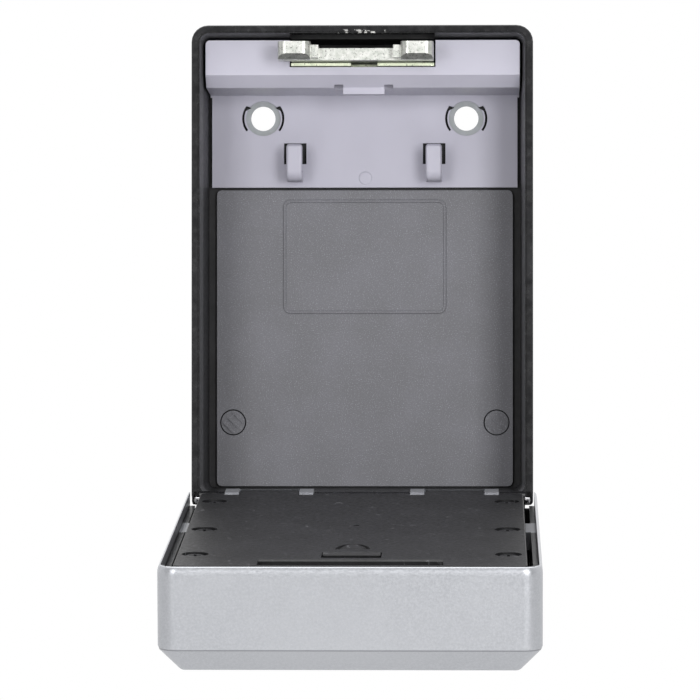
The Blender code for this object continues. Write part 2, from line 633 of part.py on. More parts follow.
def thumb_scoop():
    """Half-round hollow that ramps down towards the top of the door."""
    outline = []
    for step in range(13):
        angle = math.pi * step / 12
        outline.append((4.85 * math.cos(angle), SCOOP_LOW + (SCOOP_HIGH - SCOOP_LOW) * (1 - math.sin(angle))))
    floor, deep = -COVER_FACE, -COVER_FACE - 1.8
    scoop = outline_prism(outline, deep, floor + 1, door_hinge, "XZ")
    below_ramp = ((floor + 0.02, SCOOP_LOW - 2), (floor + 0.02, SCOOP_LOW - 0.2), (deep, SCOOP_HIGH + 0.1),
                  (deep - 1, SCOOP_HIGH + 0.1), (deep - 1, SCOOP_LOW - 2))
    cut(scoop, outline_prism(below_ramp, -6, 6, door_hinge))
    return scoop


def make_cover_screws():
    for side, name in SIDES:
        for number, row in enumerate(COVER_SCREW_ROWS, start=1):
            x = side * COVER_SCREW_X
            as_part(headed_pin((x, 2.2, row), (x, 1.3, row), (x, -9.0, row), 3.0, 1.0, door_hinge),
                    f"cover_screw_{name}_{number}", "screw_black")


def make_code_slider():
    """Finger bar with a sloping front, a neck through the plate and a foot under it."""
    low, high = CODE_RECESS_LOW + FIT_GAP, CODE_SLIDER_HIGH
    bar = ((1.85, low), (3.0, low), (3.0, low + 0.9), (2.4, high), (1.85, high))
    slider = as_part(outline_prism(bar, -8.0, 8.0, door_hinge), "code_change_slider", "plate_black")
    add(slider, door_box((-1.5, 1.5), (-1.9, 0.4), (117.4, 119.4)))
    add(slider, door_box((-4.5, 4.5), (0.1, 0.7), (115.0, 121.4)))


def make_front_bezel():
    bezel = as_part(door_slab(32.0, (19.9, 26.2), (19.0, 121.0), 4.0), "front_bezel", "bezel_black")
    add(bezel, door_slab(33.4, (22.3, 23.8), (16.5, 123.4), 4.0))
    cut(bezel, door_slab(29.6, (21.6, 30), (21.4, 118.8), 1.6, 3))
    cut(bezel, door_box((-30.95, 30.95), (23.9, 25.2), (21.5, 118.7)))
    for index in range(DIAL_COUNT):
        x = (index - 1.5) * DIAL_PITCH
        cut(bezel, door_box((x - 4.5, x + 4.5), (18, 23), (DIAL_U - 8.2, DIAL_U + 8.2)))
    cut(bezel, door_box((-4.0, 4.0), (18, 23), (85.0, 94.2)))


def make_shutter():
    shutter = as_part(door_slab(29.25, (23.65, 26.0), (SHUTTER_LOW, SHUTTER_HIGH), 1.4, 3), "shutter",
                      "bezel_black")
    add(shutter, door_box((-30.6, 30.6), (24.25, 24.9), (SHUTTER_LOW + 2, SHUTTER_HIGH - 2)))
    for index in range(4):
        low = SHUTTER_LOW + 4 + index * 2.6
        add(shutter, door_box((-14, 14), (25.5, 26.8), (low, low + 1.2)))


def make_lock_frame():
    frame = as_part(door_box((-39.4, 39.4), (1.4, 3.0), (85.5, 129.6)), "lock_frame", "lock_zinc")
    for side in (-1, 1):
        cheek_x = sorted((side * 22.4, side * 24.4))
        add(frame, door_box(cheek_x, (2.2, 18.4), (98.5, 111.0)))
        stop_x = sorted((side * 31.4, side * 35.6))
        add(frame, door_box(stop_x, (2.2, 6.0), (97.8, 99.8)))
        for row in FRAME_SCREW_ROWS:
            cut(frame, door_post(side * FRAME_SCREW_X, (0, 5), row, 1.4, 12))
    cut(frame, cylinder((-30, -DIAL_V, DIAL_U), (30, -DIAL_V, DIAL_U), AXLE_RADIUS + FIT_GAP,
                        door_hinge, 20))


def make_frame_screws():
    for side, name in SIDES:
        for number, row in enumerate(FRAME_SCREW_ROWS, start=1):
            x = side * FRAME_SCREW_X
            as_part(headed_pin((x, -0.1, row), (x, -1.1, row), (x, -9.0, row), 2.2, 1.0, door_hinge, 12),
                    f"frame_screw_{name}_{number}", "zinc_steel")


def make_dial(index):
    """Number wheel with ten finger grooves, centred on its own origin."""
    steps_per_digit = 4
    count = 10 * steps_per_digit
    rim = []
    for step in range(count):
        angle = math.tau * step / count
        groove = 0.5 * (1 - math.cos(10 * angle)) / 2
        radius = DIAL_RADIUS - groove
        rim.append((radius * math.cos(angle), radius * math.sin(angle)))
    bore = arc_points((0, 0), AXLE_RADIUS + FIT_GAP, 360, 18, 19)
    x = (index - 1.5) * DIAL_PITCH
    dial = outline_prism(rim, -DIAL_WIDTH / 2, DIAL_WIDTH / 2, door_hinge, "YZ", bore)
    dial.location = Vector((x, -DIAL_V, DIAL_U)) * MM
    as_part(dial, f"dial_{index + 1}", "dial_metal")


def make_axle():
    as_part(cylinder((-27.0, -DIAL_V, DIAL_U), (27.0, -DIAL_V, DIAL_U), AXLE_RADIUS, door_hinge, 20),
            "dial_axle", "pin_steel")
    for side, name in SIDES:
        outline = (arc_points((-DIAL_V, DIAL_U), 3.8, -60, 240, 16)
                   + arc_points((-DIAL_V, DIAL_U), AXLE_RADIUS + FIT_GAP, 240, -60, 12))
        start, end = sorted((side * 24.8, side * 25.6))
        as_part(outline_prism(outline, start, end, door_hinge), f"axle_clip_{name}", "spring_steel")


def make_detent_spring():
    """Leaf with one finger under each dial."""
    leaf = as_part(door_box((-19.5, 19.5), (3.35, 3.7), (98.8, 110.6)), "dial_detent_spring",
                   "spring_steel")
    for index in range(DIAL_COUNT - 1):
        x = (index - 1) * DIAL_PITCH
        cut(leaf, door_box((x - 0.9, x + 0.9), (2, 5), (102.0, 115.0)))


def make_lock_bolt():
    bolt = as_part(door_box((-35.6, 35.6), (3.3, 5.9), (115.2, 121.0)), "lock_bolt", "lock_zinc")
    for side in (-1, 1):
        centre = STRIKE_SHIFT + side * FINGER_X
        add(bolt, door_box((centre - 2.8, centre + 2.8), (3.3, 5.9), (120.0, 135.2)))
        arm_x = sorted((side * 27.6, side * 30.4))
        add(bolt, door_box(arm_x, (3.3, 5.9), (86.5, 116.2)))


def make_bolt_spring(side, name):
    """Compression spring along u."""
    turns, points_per_turn, low, high = 7, 10, 100.4, 114.6
    curve = bpy.data.curves.new(name, "CURVE")
    curve.dimensions = "3D"
    curve.bevel_depth = 0.25 * MM
    curve.bevel_resolution = 2
    curve.use_fill_caps = True
    spline = curve.splines.new("POLY")
    count = turns * points_per_turn + 1
    spline.points.add(count - 1)
    for index, point in enumerate(spline.points):
        angle = math.tau * index / points_per_turn
        height = low + (high - low) * index / (count - 1)
        x = side * 33.6 + 1.1 * math.cos(angle)
        point.co = (x * MM, (-4.6 + 1.1 * math.sin(angle)) * MM, height * MM, 1)
    spring = bpy.data.objects.new(name, curve)
    PARTS.objects.link(spring)
    spring.parent = door_hinge
    curve.materials.append(new_material("spring_steel"))


def make_release_slider():
    slider = as_part(door_slab(11.0, (21.9, 23.3), (88.3, 95.0), 1.2, 3), "release_slider", "dial_metal")
    for index in range(3):
        low = 89.6 + index * 1.6
        add(slider, door_box((-8, 8), (22.9, 23.6), (low, low + 0.7)))
    add(slider, door_box((-3.5, 3.5), (18.5, 22.3), (89.5, 93.5)))
    add(slider, door_box((-30.6, 30.6), (17.2, 19.4), (86.5, 94.0)))
    for side in (-1, 1):
        leg_x = sorted((side * 27.8, side * 30.4))
        add(slider, door_box(leg_x, (6.2, 17.8), (86.7, 92.5)))


make_rear_housing()
make_hook_panel()
make_back_plate()
make_knockout_plugs()
make_strike()
make_strike_bracket()
make_strike_fixings()
make_hinge_pin()
make_door_shell()
make_cover_plate()
make_cover_screws()
make_code_slider()
make_front_bezel()
make_shutter()
make_lock_frame()
make_frame_screws()
for dial_index in range(DIAL_COUNT):
    make_dial(dial_index)
make_axle()
make_detent_spring()
make_lock_bolt()
for spring_side, side_name in SIDES:
    make_bolt_spring(spring_side, f"bolt_spring_{side_name}")
make_release_slider()
bpy.context.view_layer.update()
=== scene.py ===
"""Looks for the key lock box: materials, rounded edges, small fittings, light and camera."""
import json
import math

import bmesh
import bpy
from mathutils import Matrix, Vector


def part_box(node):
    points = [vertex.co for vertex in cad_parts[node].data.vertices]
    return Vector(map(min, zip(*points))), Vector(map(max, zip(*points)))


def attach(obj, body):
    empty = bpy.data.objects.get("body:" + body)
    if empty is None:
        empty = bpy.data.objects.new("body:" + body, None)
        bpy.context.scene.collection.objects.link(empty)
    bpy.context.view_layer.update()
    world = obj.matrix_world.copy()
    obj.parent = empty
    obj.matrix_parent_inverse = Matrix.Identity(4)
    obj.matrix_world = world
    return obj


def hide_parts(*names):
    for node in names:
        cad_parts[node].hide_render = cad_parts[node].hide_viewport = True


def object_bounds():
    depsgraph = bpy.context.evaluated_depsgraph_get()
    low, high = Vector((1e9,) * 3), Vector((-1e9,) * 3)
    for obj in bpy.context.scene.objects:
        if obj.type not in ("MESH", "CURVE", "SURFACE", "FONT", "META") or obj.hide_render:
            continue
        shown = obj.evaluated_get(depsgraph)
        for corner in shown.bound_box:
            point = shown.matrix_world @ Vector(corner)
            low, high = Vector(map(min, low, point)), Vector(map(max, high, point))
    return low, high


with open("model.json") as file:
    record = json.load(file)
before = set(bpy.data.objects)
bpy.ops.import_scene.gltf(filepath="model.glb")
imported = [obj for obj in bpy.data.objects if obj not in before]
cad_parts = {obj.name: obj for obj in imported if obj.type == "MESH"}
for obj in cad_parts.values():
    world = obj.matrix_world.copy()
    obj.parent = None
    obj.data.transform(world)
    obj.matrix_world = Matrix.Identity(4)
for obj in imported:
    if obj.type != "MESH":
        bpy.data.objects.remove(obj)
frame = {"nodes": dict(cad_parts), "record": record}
CAD_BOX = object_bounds()

MM = 0.001
NODES = frame["nodes"]
RECORD = frame["record"]
BODY_OF = {node: body for body, nodes in RECORD["behaviour"]["bodies"].items() for node in nodes}
SLOT_OF = {part["node"]: part["material_slot"] for part in RECORD["subparts"]}
JOINTS = {joint["name"]: joint for joint in RECORD["behaviour"]["joints"]}

HINGE = Vector(JOINTS["door_hinge"]["pos_m"])
RIM = HINGE.y - 0.0010
UNDERSIDE = HINGE.z - 0.0016
HOUSING_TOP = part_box("rear_housing")[1][2]
DOOR_OPEN = math.radians(97)
# World matrix of the door's own frame: x across, -y out of the door's front, z up the shut door
DOOR_FRAME = Matrix.Translation(HINGE) @ Matrix.Rotation(DOOR_OPEN, 4, "X")

EDGE_SEGMENTS = 2
SHARP_ANGLE = math.radians(28)
SEAM_ANGLE = math.radians(0.6)

# The hook panel, in the room
WALL_HOLE_X = 0.0312
WALL_HOLE_Z = UNDERSIDE + 0.1179
SCREW_RING_RADIUS = 0.0053
PANEL_FACE = -0.0041
HOOK_ROOT = -0.0052
HOOK_X = 0.0213
HOOK_HALF_WIDTH = 0.0027
HOOK_LOW = UNDERSIDE + 0.0983
HOOK_HIGH = UNDERSIDE + 0.1098
EJECTOR_MARK = (0.0002, PANEL_FACE, UNDERSIDE + 0.0996)

# Boxes in the door's frame: what is primed black, then the bare bosses and hinge blocks within it
DOOR_MOUTH = ((-0.0502, -0.0195, -0.0020), (0.0502, 0.0060, 0.1420))
DOOR_FLOOR = ((-0.0455, -0.0243, 0.0040), (0.0455, -0.0180, 0.1365))
DOOR_WALLS = ((-0.0519, -0.0195, 0.0040), (0.0519, -0.0004, 0.1385))
BOSSES = ((None, -0.0100, 0.0375), (None, -0.0010, 0.0555))
HINGE_BLOCKS = ((-0.0420, -0.0065, -0.0040), (0.0420, 0.0040, 0.0080))

# The door's outline is this far out from a smaller one: half its width, its low and high ends
DOOR_CORNER = 0.0054
LIP_HEART = (0.0525 - DOOR_CORNER, -0.0029 + DOOR_CORNER, 0.14385 - DOOR_CORNER)
LIP_REACH = DOOR_CORNER - 0.0009
LIP_INSET_MM = 0.92
LIP_DEPTH_MM = 2.2
HOOK_ROUND_MM = 0.9

# The cover screws' cross recess: across, wide and deep
CROSS_MM = (3.4, 0.75, 0.7)
CROSS_EDGE_MM = 0.08

# The number wheels, in the door's frame
DIAL_COUNT = 4
DIAL_PLACE = Vector((0, -0.0136, 0.1050))
DIAL_PITCH = 0.0100
DIAL_RADIUS = 0.0096
DIGITS = 10
CREST_HALF_ANGLE = math.radians(9)
CREST_FALL = 0.25 * MM
NUMERAL_SIZE = 4.2 * MM
NUMERAL_HALF_THICKNESS = 0.1 * MM
NUMERAL_SINK = 0.07 * MM
SLICE_HEIGHT = 0.4 * MM
SLICES_EACH_WAY = 4

PIECES = bpy.data.collections.new("visual_pieces")
bpy.context.scene.collection.children.link(PIECES)


# ---------------------------------------------------------------- materials
class Look:
    """A Principled material whose texture nodes work in the piece's own metres."""

    def __init__(self, name, roughness, metallic=0.0, coat=0.0, coat_roughness=0.1):
        self.material = bpy.data.materials.new(name)
        self.material.use_nodes = True
        self.tree = self.material.node_tree
        self.shader = self.tree.nodes["Principled BSDF"]
        self.shader.inputs["Roughness"].default_value = roughness
        self.shader.inputs["Metallic"].default_value = metallic
        self.shader.inputs["Coat Weight"].default_value = coat
        self.shader.inputs["Coat Roughness"].default_value = coat_roughness
        self.place = self.tree.nodes.new("ShaderNodeTexCoord").outputs["Object"]
        self.height = None

    def node(self, kind, **settings):
        item = self.tree.nodes.new(kind)
        for key, value in settings.items():
            setattr(item, key, value)
        return item

    def link(self, source, target):
        self.tree.links.new(source, target)

    def noise(self, size_mm, detail=3.0, stretch=(1, 1, 1), distortion=0.0):
        """Noise whose features are about size_mm across."""
        mapping = self.node("ShaderNodeMapping")
        mapping.inputs["Scale"].default_value = stretch
        self.link(self.place, mapping.inputs["Vector"])
        texture = self.node("ShaderNodeTexNoise")
        texture.inputs["Scale"].default_value = 1.0 / (size_mm * MM)
        texture.inputs["Detail"].default_value = detail
        texture.inputs["Distortion"].default_value = distortion
        self.link(mapping.outputs["Vector"], texture.inputs["Vector"])
        return texture.outputs["Fac"]

    def span(self, source, low, high, out_low=0.0, out_high=1.0):
        """Map low..high of a value to out_low..out_high, clamped."""
        item = self.node("ShaderNodeMapRange")
        item.inputs["From Min"].default_value = low
        item.inputs["From Max"].default_value = high
        item.inputs["To Min"].default_value = out_low
        item.inputs["To Max"].default_value = out_high
        self.link(source, item.inputs["Value"])
        return item.outputs["Result"]

    def maths(self, operation, first, second):
        item = self.node("ShaderNodeMath", operation=operation)
        for socket, value in zip(item.inputs, (first, second)):
            if isinstance(value, (int, float)):
                socket.default_value = value
            else:
                self.link(value, socket)
        return item.outputs["Value"]

    def blend(self, factor, first, second):
        """Mix two colours, each a tuple or a socket."""
        item = self.node("ShaderNodeMix", data_type="RGBA")
        self.link(factor, item.inputs["Factor"])
        for socket, value in ((item.inputs[6], first), (item.inputs[7], second)):
            if isinstance(value, tuple):
                socket.default_value = (*value, 1.0)
            else:
                self.link(value, socket)
        return item.outputs[2]

    def within(self, low, high, soft_mm):
        """1 inside a box in the piece's metres, fading out over soft_mm."""
        split = self.node("ShaderNodeSeparateXYZ")
        self.link(self.place, split.inputs["Vector"])
        soft = soft_mm * MM
        result = None
        for axis in range(3):
            for edge, sign in ((low[axis], 1), (high[axis], -1)):
                if edge is None:
                    continue
                step = self.span(split.outputs[axis], edge - sign * soft, edge + sign * soft)
                result = step if result is None else self.maths("MULTIPLY", result, step)
        return result

    def disc(self, centre_x, centre_z, radius, soft_mm):
        """1 inside a circle in the piece's x and z, in metres."""
        shifted = self.node("ShaderNodeVectorMath", operation="SUBTRACT")
        shifted.inputs[1].default_value = (centre_x, 0, centre_z)
        self.link(self.place, shifted.inputs[0])
        flat = self.node("ShaderNodeVectorMath", operation="MULTIPLY")
        flat.inputs[1].default_value = (1, 0, 1)
        self.link(shifted.outputs["Vector"], flat.inputs[0])
        length = self.node("ShaderNodeVectorMath", operation="LENGTH")
        self.link(flat.outputs["Vector"], length.inputs[0])
        soft = soft_mm * MM
        return self.span(length.outputs["Value"], radius - soft, radius + soft, 1.0, 0.0)

    def colour(self, source):
        self.link(source, self.shader.inputs["Base Color"])

    def set_roughness(self, source):
        self.link(source, self.shader.inputs["Roughness"])

    def set_metallic(self, source):
        self.link(source, self.shader.inputs["Metallic"])

    def bump(self, source, height_mm):
        """Stack one more layer of bump."""
        item = self.node("ShaderNodeBump")
        item.inputs["Strength"].default_value = 1.0
        item.inputs["Distance"].default_value = height_mm * MM
        self.link(source, item.inputs["Height"])
        if self.height is not None:
            self.link(self.height, item.inputs["Normal"])
        self.height = item.outputs["Normal"]
        self.link(self.height, self.shader.inputs["Normal"])
        return self


def housing_black():
    """Gloss black paint: matt inside, with painted light making the first 7 mm of the walls inside the mouth
    greyer, rubbed bright in the top of the rim.
    """
    look = Look("housing_black", 0.25, coat=0.05, coat_roughness=0.12)
    look.shader.inputs["Specular IOR Level"].default_value = 0.36
    dust = look.span(look.noise(9.0, 4), 0.42, 0.7)
    paint = look.blend(dust, (0.0075, 0.0075, 0.0085), (0.015, 0.015, 0.017))
    rubbed = look.within((-0.0075, RIM - 0.002, HOUSING_TOP - 0.0030),
                         (0.0070, RIM + 0.0010, HOUSING_TOP - 0.0014), 0.25)
    rubbed = look.maths("MULTIPLY", rubbed, look.span(look.noise(1.8, 5), 0.52, 0.56))
    inside = look.within((-0.0492, RIM + 0.0009, None), (0.0492, None, HOUSING_TOP - 0.0021), 0.15)
    # Painted light: the inside walls within 7 mm of the rim are painted grey where light reaches them.
    painted_mouth_light = look.within((None, None, None), (None, RIM + 0.0070, None), 1.2)
    painted_mouth_light = look.maths("MULTIPLY", inside, painted_mouth_light)
    paint = look.blend(painted_mouth_light, paint, (0.075, 0.075, 0.08))
    look.colour(look.blend(rubbed, paint, (0.85, 0.84, 0.82)))
    look.set_metallic(rubbed)
    polish = look.span(look.noise(2.2, 4), 0.3, 0.75, 0.16, 0.32)
    matt = look.span(look.noise(1.2, 4), 0.3, 0.7, 0.46, 0.60)
    roughness = look.node("ShaderNodeMix", data_type="FLOAT")
    look.link(inside, roughness.inputs["Factor"])
    look.link(polish, roughness.inputs[2])
    look.link(matt, roughness.inputs[3])
    look.set_roughness(roughness.outputs[0])
    return look.bump(look.noise(0.9, 2), 0.002).bump(look.noise(0.16, 2), 0.001)


def panel_grey():
    """Satin lavender-grey moulding with faint flow marks, and painted shade as grey rings in the seats round
    the wall screws.
    """
    look = Look("panel_grey", 0.42)
    flow = look.span(look.noise(22.0, 3, (1, 1, 0.4)), 0.35, 0.7)
    base = look.blend(flow, (0.47, 0.46, 0.54), (0.51, 0.50, 0.582))
    speck = look.span(look.noise(0.5, 2), 0.70, 0.78)
    base = look.blend(speck, base, (0.44, 0.43, 0.50))
    # Painted shade: darker grey rings in the seats round the two wall screw holes.
    painted_seat_shade = look.maths("MAXIMUM", look.disc(-WALL_HOLE_X, WALL_HOLE_Z, SCREW_RING_RADIUS, 0.12),
                       look.disc(WALL_HOLE_X, WALL_HOLE_Z, SCREW_RING_RADIUS, 0.12))
    painted_seat_shade = look.maths("MULTIPLY", painted_seat_shade, look.span(look.noise(2.5, 4), 0.2, 0.5, 0.6, 1.0))
    look.colour(look.blend(painted_seat_shade, base, (0.33, 0.35, 0.36)))
    look.set_roughness(look.span(look.noise(1.4, 4), 0.3, 0.7, 0.36, 0.52))
    look.shader.inputs["Subsurface Weight"].default_value = 0.08
    look.shader.inputs["Subsurface Radius"].default_value = (0.0016, 0.0016, 0.0018)
    return look.bump(look.noise(0.22, 3), 0.009)


def textured_black(name, light, grain_mm, scratches, smoothest=0.34, patchy=0.45):
    """Spark-eroded black plastic with light rub marks."""
    look = Look(name, 0.5)
    patches = look.span(look.noise(16.0, 4), 0.38, 0.68)
    dark = (1 - patchy) * light
    base = look.blend(patches, (dark, dark, dark * 1.1), (light, light, light * 1.12))
    fine = look.span(look.noise(grain_mm * 1.6, 3), 0.55, 0.75)
    speckled = look.blend(fine, base, (light * 2.0, light * 2.0, light * 2.2))
    marks = look.span(look.noise(2.6, 6, (1, 0.12, 1), 1.2), 0.655, 0.70)
    marks = look.maths("MULTIPLY", marks, scratches)
    look.colour(look.blend(marks, speckled, (0.16, 0.16, 0.17)))
    look.set_roughness(look.span(look.noise(1.2, 4), 0.3, 0.7, smoothest, smoothest + 0.14))
    return look.bump(look.noise(grain_mm, 3), 0.03).bump(look.noise(3.5, 3), 0.02)


def silver_paint():
    """Fine metallic silver paint outside with orange peel and flake, painted shade along the face's crease,
    black primer inside.
    """
    look = Look("silver_paint", 0.36, coat=0.12, coat_roughness=0.2)
    cloud = look.span(look.noise(30.0, 3), 0.35, 0.7)
    base = look.blend(cloud, (0.40, 0.41, 0.435), (0.43, 0.44, 0.465))
    base = look.blend(look.span(look.noise(0.6, 3), 0.35, 0.7), base, (0.46, 0.47, 0.495))
    flake = look.span(look.noise(0.11, 2), 0.62, 0.74)
    base = look.blend(flake, base, (0.60, 0.61, 0.63))
    # Painted shade: a thin dark line along the crease where the near face turns into the chamfer.
    painted_crease_shade = look.within((None, -0.02022, None), (None, -0.01992, None), 0.12)
    base = look.blend(painted_crease_shade, base, (0.22, 0.225, 0.24))
    inside = look.maths("MAXIMUM", look.within(*DOOR_MOUTH, 0.06), look.within(*DOOR_FLOOR, 0.06))
    inside = look.maths("MAXIMUM", inside, look.within(*DOOR_WALLS, 0.06))
    patch = look.maths("MAXIMUM", look.within(*BOSSES, 0.1), look.within(*HINGE_BLOCKS, 0.1))
    primer = look.maths("MULTIPLY", inside, look.maths("SUBTRACT", 1.0, patch))
    soot = look.blend(look.span(look.noise(3.0, 4), 0.4, 0.7), (0.010, 0.010, 0.011), (0.018, 0.018, 0.02))
    look.colour(look.blend(primer, base, soot))
    look.set_metallic(look.span(primer, 0.0, 1.0, 0.8, 0.0))
    look.set_roughness(look.span(look.noise(0.6, 3), 0.3, 0.7, 0.31, 0.43))
    return look.bump(look.noise(0.8, 2), 0.006).bump(look.noise(0.12, 2), 0.0022)


def plated_steel(name, light, dark, roughness, brush=(1, 1, 1), metallic=1.0):
    """Plated or drawn metal with mottling, dark pits and a brushed or plain grain."""
    look = Look(name, roughness, metallic=metallic)
    mottle = look.span(look.noise(1.6, 5), 0.35, 0.68)
    base = look.blend(mottle, light, dark)
    pits = look.span(look.noise(0.5, 5, (1, 1, 1), 0.6), 0.60, 0.66)
    look.colour(look.blend(pits, base, tuple(0.45 * value for value in dark)))
    look.set_roughness(look.span(look.noise(0.7, 4, brush), 0.3, 0.7, roughness - 0.1, roughness + 0.14))
    return look.bump(look.noise(0.35, 4, brush), 0.012)


LOOKS = {
    "housing_black": housing_black(),
    "panel_grey": panel_grey(),
    "plate_black": textured_black("plate_black", 0.030, 0.2, 0.35),
    "zinc_steel": plated_steel("zinc_steel", (0.64, 0.64, 0.61), (0.46, 0.48, 0.44), 0.34, metallic=0.85),
    "passivated_steel": plated_steel("passivated_steel", (0.86, 0.91, 0.70), (0.72, 0.79, 0.58), 0.36,
                                     metallic=0.3),
    "pin_steel": plated_steel("pin_steel", (0.66, 0.66, 0.67), (0.48, 0.48, 0.5), 0.25, (0.05, 1, 1)),
    "silver_paint": silver_paint(),
    "bezel_black": textured_black("bezel_black", 0.020, 0.16, 0.2),
    "dial_metal": plated_steel("dial_metal", (0.72, 0.71, 0.69), (0.58, 0.57, 0.55), 0.3, (8, 1, 1)),
    "lock_zinc": plated_steel("lock_zinc", (0.50, 0.51, 0.53), (0.38, 0.39, 0.41), 0.48),
    "screw_black": plated_steel("screw_black", (0.06, 0.06, 0.065), (0.03, 0.03, 0.032), 0.35),
    "spring_steel": plated_steel("spring_steel", (0.62, 0.62, 0.64), (0.46, 0.46, 0.48), 0.28, (0.1, 1, 1)),
}


# Lit and shaded copies of the plate black: the cover plate's darker base is painted shade, and the back
# plate's far lighter base is painted light.
SHADED_COVER_BLACK = textured_black("cover_black_shaded", 0.012, 0.2, 0.5, 0.36)
LIT_BACK_PLATE_BLACK = textured_black("back_plate_black_lit", 0.17, 0.2, 0.2, 0.44, 0.12)
SHADED_COVER_BLACK.shader.inputs["Specular IOR Level"].default_value = 0.3
NODE_LOOKS = {"door_cover_plate": SHADED_COVER_BLACK, "code_change_slider": SHADED_COVER_BLACK,
              "back_plate": LIT_BACK_PLATE_BLACK, "knockout_plug_left": LIT_BACK_PLATE_BLACK,
              "knockout_plug_right": LIT_BACK_PLATE_BLACK}


def look_of(node):
    return NODE_LOOKS.get(node, LOOKS[SLOT_OF[node]])


def digit_look():
    """Black enamel in the numerals."""
    look = Look("digit_enamel", 0.4)
    worn = look.span(look.noise(0.5, 3), 0.4, 0.7)
    look.colour(look.blend(worn, (0.012, 0.012, 0.013), (0.03, 0.03, 0.032)))
    return look.bump(look.noise(0.2, 3), 0.004)


DIGIT = digit_look()


# ---------------------------------------------------------------- pieces
def own(item, body, look):
    """Put a piece in the scene, on its body and in its material slot."""
    PIECES.objects.link(item)
    item.data.materials.clear()
    item.data.materials.append(look.material)
    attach(item, body)


def cad_mesh(node, place):
    """The CAD node's shape in a given frame, without the seams left by its triangles."""
    mesh = NODES[node].data.copy()
    mesh.transform(place.inverted() @ NODES[node].matrix_world)
    bm = bmesh.new()
    bm.from_mesh(mesh)
    bmesh.ops.remove_doubles(bm, verts=bm.verts, dist=2e-6)
    bmesh.ops.dissolve_limit(bm, angle_limit=SEAM_ANGLE, verts=bm.verts, edges=bm.edges)
    bm.to_mesh(mesh)
    bm.free()
    return mesh


def softened(node, width_mm):
    """The CAD node's shape with its edges rounded, standing in for it, in its body's own frame."""
    place = Matrix.Identity(4) if BODY_OF[node] == "housing" else DOOR_FRAME
    return finish(f"{node}_finished", node, cad_mesh(node, place), place, width_mm)


def finish(name, node, mesh, place, width_mm):
    """Round a mesh's edges and let it stand in for the node."""
    mesh.shade_smooth()
    mesh.set_sharp_from_angle(angle=SHARP_ANGLE)
    item = bpy.data.objects.new(name, mesh)
    item.matrix_world = place
    bevel = item.modifiers.new("rounded_edges", "BEVEL")
    bevel.width = width_mm * MM
    bevel.segments = EDGE_SEGMENTS
    bevel.limit_method = "ANGLE"
    bevel.angle_limit = SHARP_ANGLE
    bevel.harden_normals = True
    normals = item.modifiers.new("flat_faces_flat", "WEIGHTED_NORMAL")
    normals.keep_sharp = True
    normals.weight = 80
    own(item, BODY_OF[node], look_of(node))
    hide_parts(node)
    return item


def round_more(item, chosen, width_mm):
    """Round the edges that pass a test more than the rest of the piece."""
    mesh = item.data
    weight = mesh.attributes.new("bevel_weight_edge", "FLOAT", "EDGE")
    for edge in mesh.edges:
        weight.data[edge.index].value = float(chosen(*(mesh.vertices[index].co for index in edge.vertices)))
    bevel = item.modifiers.new("rounded_more", "BEVEL")
    bevel.width = width_mm * MM
    bevel.segments = 3
    bevel.limit_method = "WEIGHT"
    bevel.harden_normals = True
    item.modifiers.move(len(item.modifiers) - 1, 0)


def is_hook_edge(first, second):
    """A long edge of one of the two hooks."""
    on_hook = all(point.y < HOOK_ROOT and abs(abs(point.x) - HOOK_X) < HOOK_HALF_WIDTH
                  and HOOK_LOW < point.z < HOOK_HIGH for point in (first, second))
    return on_hook and abs(first.x - second.x) < 1e-5


def roll_lip(item, inset_mm, deep_mm):
    """Draw the outside of the door's mouth in along a quarter of an ellipse."""
    level = max(vertex.co.y for vertex in item.data.vertices if vertex.co.z > 0.1)
    for vertex in item.data.vertices:
        heart = Vector((max(-LIP_HEART[0], min(LIP_HEART[0], vertex.co.x)), 0,
                        max(LIP_HEART[1], min(LIP_HEART[2], vertex.co.z))))
        outward = Vector((vertex.co.x, 0, vertex.co.z)) - heart
        depth = (level - vertex.co.y) / (deep_mm * MM)
        if depth < 1 and outward.length > LIP_REACH:
            inset = inset_mm * MM * (1 - math.sqrt(1 - (1 - max(depth, 0)) ** 2))
            place = heart + outward.normalized() * (DOOR_CORNER - inset)
            vertex.co.x, vertex.co.z = place.x, place.z


def cross_cutter(across_mm, wide_mm, deep_mm, place):
    """Closed cross-shaped prism reaching deep_mm below a head's face."""
    long, half = across_mm / 2, wide_mm / 2
    quarter = [(long, -half), (long, half), (half, half)]
    outline = []
    for _ in range(4):
        outline += quarter
        quarter = [(-z, x) for x, z in quarter]
    bm = bmesh.new()
    face = bm.faces.new([bm.verts.new((x * MM, -deep_mm * MM, z * MM)) for x, z in outline])
    moved = bmesh.ops.extrude_face_region(bm, geom=[face])["geom"]
    bmesh.ops.translate(bm, vec=(0, (deep_mm + 1) * MM, 0),
                        verts=[item for item in moved if isinstance(item, bmesh.types.BMVert)])
    bmesh.ops.recalc_face_normals(bm, faces=bm.faces)
    bmesh.ops.translate(bm, vec=place, verts=bm.verts)
    mesh = bpy.data.meshes.new("cross")
    bm.to_mesh(mesh)
    bm.free()
    return mesh


def crossed_screw(node):
    """The CAD screw with a cross recess sunk in its head."""
    mesh = cad_mesh(node, DOOR_FRAME)
    low = Vector([min(vertex.co[axis] for vertex in mesh.vertices) for axis in range(3)])
    high = Vector([max(vertex.co[axis] for vertex in mesh.vertices) for axis in range(3)])
    middle = Vector(((low.x + high.x) / 2, high.y, (low.z + high.z) / 2))
    blank = bpy.data.objects.new("blank", mesh)
    cutter = bpy.data.objects.new("cutter", cross_cutter(*CROSS_MM, middle))
    for item in (blank, cutter):
        PIECES.objects.link(item)
    cut = blank.modifiers.new("cross", "BOOLEAN")
    cut.operation = "DIFFERENCE"
    cut.solver = "EXACT"
    cut.object = cutter
    evaluated = blank.evaluated_get(bpy.context.evaluated_depsgraph_get())
    result = bpy.data.meshes.new_from_object(evaluated)
    for item in (blank, cutter):
        bpy.data.objects.remove(item)
    finish(f"{node}_finished", node, result, DOOR_FRAME, CROSS_EDGE_MM)


